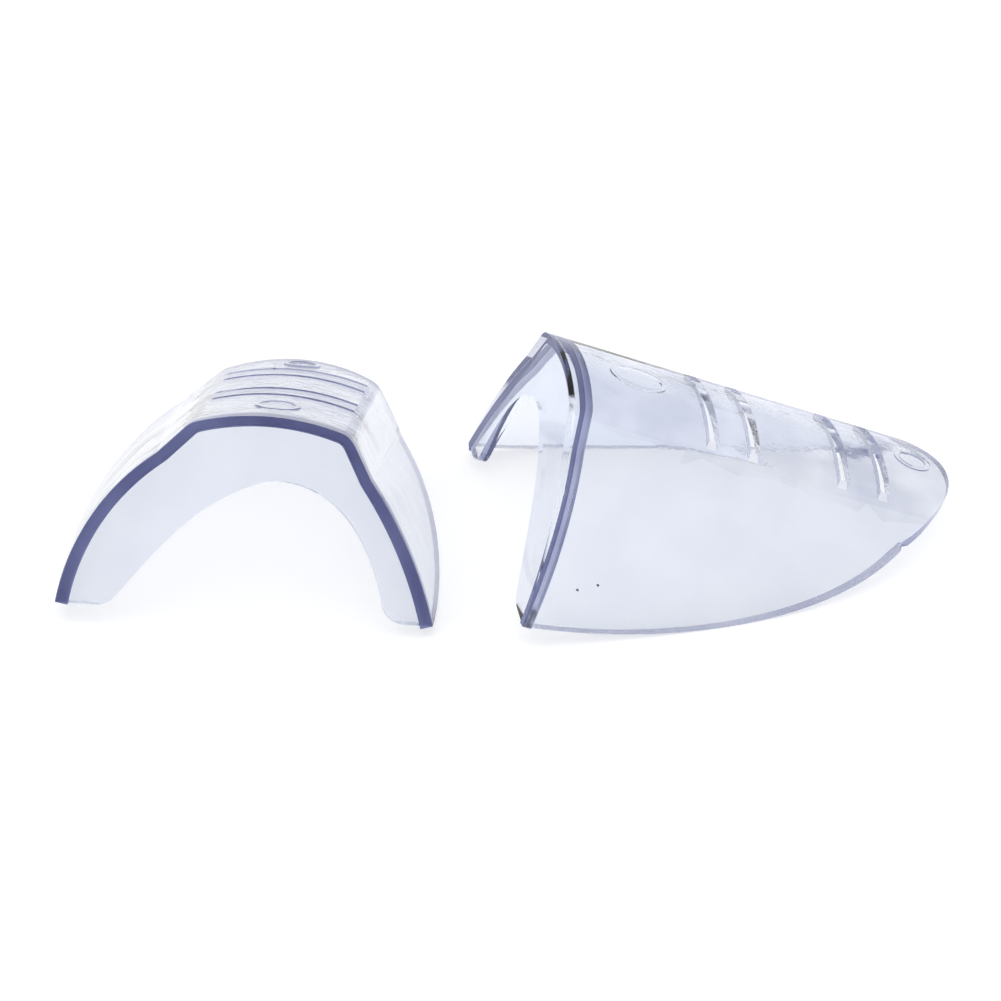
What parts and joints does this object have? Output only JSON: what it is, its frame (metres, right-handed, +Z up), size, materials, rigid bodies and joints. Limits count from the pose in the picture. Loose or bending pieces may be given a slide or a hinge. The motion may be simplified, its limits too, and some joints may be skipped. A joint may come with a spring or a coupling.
{
  "type": "eyeglass side shields",
  "caption": "Pair of clear flexible slip-on side shields for eyeglasses, with a front flange, curved side panels and sprung straps that grip a temple arm.",
  "frame": {"origin": "centre of the pair's footprint on the table, at the bottom of its bounding box", "axes": "+X across the pair from the left shield to the right shield, +Y away from a viewer who faces the left shield's front flange, +Z up from the table"},
  "size_m": [0.122, 0.0674, 0.028],
  "materials": {
    "clear_vinyl": "clear, slightly blue, flexible moulded vinyl with a gloss surface"
  },
  "bodies": {
    "left_shield": {"left_shell": "clear_vinyl"},
    "left_front_band": {"left_front_strap": "clear_vinyl"},
    "left_rear_band": {"left_rear_strap": "clear_vinyl"},
    "right_shield": {"right_shell": "clear_vinyl"},
    "right_front_band": {"right_front_strap": "clear_vinyl"},
    "right_rear_band": {"right_rear_strap": "clear_vinyl"}
  },
  "joints": [
    {"name": "left_front_strap_flex", "type": "slide", "parent": "left_shield", "child": "left_front_band", "axis": [-0.0571, -0.3876, -0.9201], "range_m": [0, 0.004], "stiffness_N_per_m": 500},
    {"name": "left_rear_strap_flex", "type": "slide", "parent": "left_shield", "child": "left_rear_band", "axis": [-0.0571, -0.3876, -0.9201], "range_m": [0, 0.004], "stiffness_N_per_m": 500},
    {"name": "right_front_strap_flex", "type": "slide", "parent": "right_shield", "child": "right_front_band", "axis": [-0.3825, -0.0847, -0.9201], "range_m": [0, 0.004], "stiffness_N_per_m": 500},
    {"name": "right_rear_strap_flex", "type": "slide", "parent": "right_shield", "child": "right_rear_band", "axis": [-0.3825, -0.0847, -0.9201], "range_m": [0, 0.004], "stiffness_N_per_m": 500},
    {"name": "right_shield_lift", "type": "slide", "parent": "left_shield", "child": "right_shield", "axis": [0, 0, 1], "range_m": [0, 0.1]}
  ]
}
